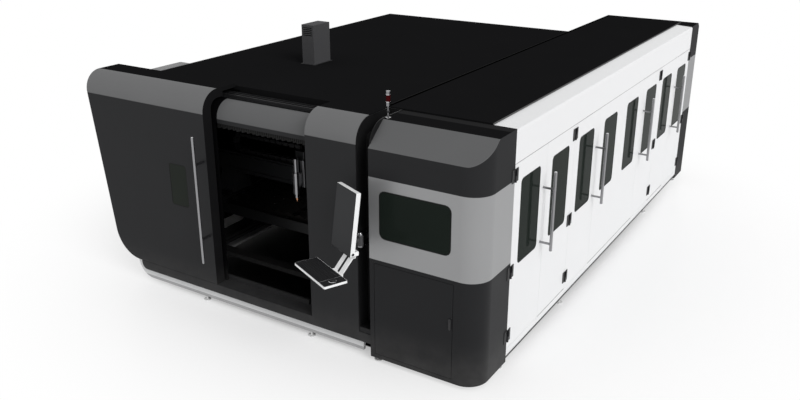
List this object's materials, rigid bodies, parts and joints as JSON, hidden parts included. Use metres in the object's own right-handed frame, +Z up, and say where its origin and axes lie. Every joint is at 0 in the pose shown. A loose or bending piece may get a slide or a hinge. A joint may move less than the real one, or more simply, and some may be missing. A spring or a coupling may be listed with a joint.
{
  "type": "fiber laser cutting machine",
  "caption": "Enclosed fibre laser cutter for sheet and tube, with a sliding front door, hinged side doors, a swivelling operator panel and a gantry over a toothed slat table.",
  "frame": {"origin": "on the floor, under the middle of the machine", "axes": "+X to the right along the front, +Y from the front to the rear, +Z up"},
  "size_m": [4.7689, 7.4637, 2.645],
  "materials": {
    "graphite": "fine-textured graphite powder coat",
    "roof_black": "matt black powder coat",
    "channel_black": "matt black powder coat",
    "pale_grey": "satin pale grey powder coat",
    "silver_grey": "silver-grey metallic powder coat",
    "white_paint": "satin white powder coat",
    "rear_paint": "banded powder coat",
    "dark_glass": "dark green-grey laser-safe glass",
    "handle_steel": "brushed stainless bar",
    "black_fitting": "black moulded fitting",
    "bed_paint": "light grey machine enamel",
    "gantry_paint": "light grey machine enamel",
    "rail_steel": "ground steel",
    "slat_steel": "bare cut steel",
    "copper": "turned copper",
    "panel_white": "white moulded housing",
    "screen": "dark panel glass",
    "lamp_red": "clear red lens",
    "chain_plastic": "black nylon",
    "rubber_foot": "zinc-plated foot"
  },
  "bodies": {
    "root": {"levelling_feet": "rubber_foot", "bed_frame": "bed_paint", "base_casing": "pale_grey", "left_wall": "pale_grey", "rear_wall": "pale_grey", "main_roof": "roof_black", "exhaust_duct": "roof_black", "header_hood": "graphite", "door_track": "rail_steel", "right_front_panel": "graphite", "groove_channel": "channel_black", "booth_top_band": "white_paint", "side_frame": "white_paint", "side_panes": "dark_glass", "front_cabinet_upper": "graphite", "front_cabinet_band": "silver_grey", "front_cabinet_lower": "graphite", "rear_cabinet": "rear_paint", "stack_light_base": "handle_steel", "stack_light_lens": "lamp_red", "hmi_bracket": "handle_steel", "door_hinges": "black_fitting", "laser_source": "pale_grey", "table_frame": "bed_paint", "table_slats": "slat_steel", "gantry_rails": "rail_steel", "tube_bed": "bed_paint"},
    "sliding_door": {"sliding_door_shell": "graphite", "sliding_door_window": "dark_glass", "sliding_door_handle": "handle_steel", "sliding_door_shoes": "rail_steel"},
    "cabinet_door": {"cabinet_door": "graphite"},
    "cabinet_lock": {"cabinet_lock": "black_fitting"},
    "hmi_arm": {"hmi_arm": "panel_white"},
    "monitor": {"monitor_housing": "panel_white", "monitor_screen": "screen"},
    "keyboard_tray": {"keyboard_tray": "panel_white", "keypad": "black_fitting"},
    "push_button": {"push_button": "black_fitting"},
    "gantry": {"gantry_beam": "gantry_paint", "cable_chain": "chain_plastic"},
    "carriage": {"gantry_carriage": "gantry_paint"},
    "cutting_head": {"cutting_head": "handle_steel", "nozzle": "copper"},
    "rear_chuck": {"rear_chuck_carriage": "bed_paint"},
    "front_ring": {"front_chuck_ring": "rail_steel"},
    "rear_ring": {"rear_chuck_ring": "rail_steel"},
    "scrap_drawer": {"scrap_drawer": "bed_paint"},
    "side_door_1": {"side_door_1_panel": "white_paint", "side_door_1_pane": "dark_glass", "side_door_1_handle": "handle_steel"},
    "side_door_2": {"side_door_2_panel": "white_paint", "side_door_2_pane": "dark_glass", "side_door_2_handle": "handle_steel"},
    "side_door_3": {"side_door_3_panel": "white_paint", "side_door_3_pane": "dark_glass", "side_door_3_handle": "handle_steel"},
    "side_door_4": {"side_door_4_panel": "white_paint", "side_door_4_pane": "dark_glass", "side_door_4_handle": "handle_steel"}
  },
  "joints": [
    {"name": "sliding_door_slide", "type": "slide", "parent": "root", "child": "sliding_door", "axis": [1, 0, 0], "range_m": [0, 1.203]},
    {"name": "side_door_1_hinge", "type": "hinge", "parent": "root", "child": "side_door_1", "pos_m": [2.2675, -2.50817, 1], "axis": [0, 0, -1], "range_deg": [0, 105]},
    {"name": "side_door_2_hinge", "type": "hinge", "parent": "root", "child": "side_door_2", "pos_m": [2.2675, -1.12717, 1], "axis": [0, 0, -1], "range_deg": [0, 105]},
    {"name": "side_door_3_hinge", "type": "hinge", "parent": "root", "child": "side_door_3", "pos_m": [2.2675, 1.79283, 1], "axis": [0, 0, 1], "range_deg": [0, 105]},
    {"name": "side_door_4_hinge", "type": "hinge", "parent": "root", "child": "side_door_4", "pos_m": [2.2675, 3.17383, 1], "axis": [0, 0, 1], "range_deg": [0, 105]},
    {"name": "cabinet_door_hinge", "type": "hinge", "parent": "root", "child": "cabinet_door", "pos_m": [1.2365, -3.06017, 0.54], "axis": [0, 0, -1], "range_deg": [0, 110]},
    {"name": "cabinet_lock_turn", "type": "hinge", "parent": "cabinet_door", "child": "cabinet_lock", "pos_m": [1.9815, -3.06817, 0.617], "axis": [0, -1, 0], "range_deg": [0, 90]},
    {"name": "hmi_arm_swivel", "type": "hinge", "parent": "root", "child": "hmi_arm", "pos_m": [1.1015, -3.09717, 1.195], "axis": [0, 0, 1], "range_deg": [-20, 40]},
    {"name": "monitor_tilt", "type": "hinge", "parent": "hmi_arm", "child": "monitor", "pos_m": [1.07589, -3.32245, 1.205], "axis": [0.9063, -0.4226, 0], "range_deg": [-10, 12]},
    {"name": "keyboard_tray_fold", "type": "hinge", "parent": "hmi_arm", "child": "keyboard_tray", "pos_m": [1.03532, -3.40946, 1.03], "axis": [-0.9063, 0.4226, 0], "range_deg": [0, 60]},
    {"name": "push_button_press", "type": "slide", "parent": "keyboard_tray", "child": "push_button", "axis": [0, 0, -1], "range_m": [0, 0.004], "stiffness_N_per_m": 1500, "springref_m": -0.004},
    {"name": "gantry_travel", "type": "slide", "parent": "root", "child": "gantry", "axis": [0, 1, 0], "range_m": [-0.2, 3.15]},
    {"name": "carriage_travel", "type": "slide", "parent": "gantry", "child": "carriage", "axis": [1, 0, 0], "range_m": [-0.8, 1.97]},
    {"name": "head_travel", "type": "slide", "parent": "carriage", "child": "cutting_head", "axis": [0, 0, 1], "range_m": [-0.11, 0]},
    {"name": "rear_chuck_travel", "type": "slide", "parent": "root", "child": "rear_chuck", "axis": [0, 1, 0], "range_m": [-1.2, 2.6]},
    {"name": "front_ring_turn", "type": "hinge", "parent": "root", "child": "front_ring", "pos_m": [1.6515, -1.67217, 0.79], "axis": [0, 1, 0], "continuous": true},
    {"name": "rear_ring_turn", "type": "hinge", "parent": "rear_chuck", "child": "rear_ring", "pos_m": [1.6515, 0.07783, 0.79], "axis": [0, 1, 0], "continuous": true},
    {"name": "scrap_drawer_slide", "type": "slide", "parent": "root", "child": "scrap_drawer", "axis": [0, 1, 0], "range_m": [0, 2]}
  ],
  "couplings": [
    {"joint": "front_ring_turn", "follows": "rear_ring_turn", "ratio": 1}
  ]
}
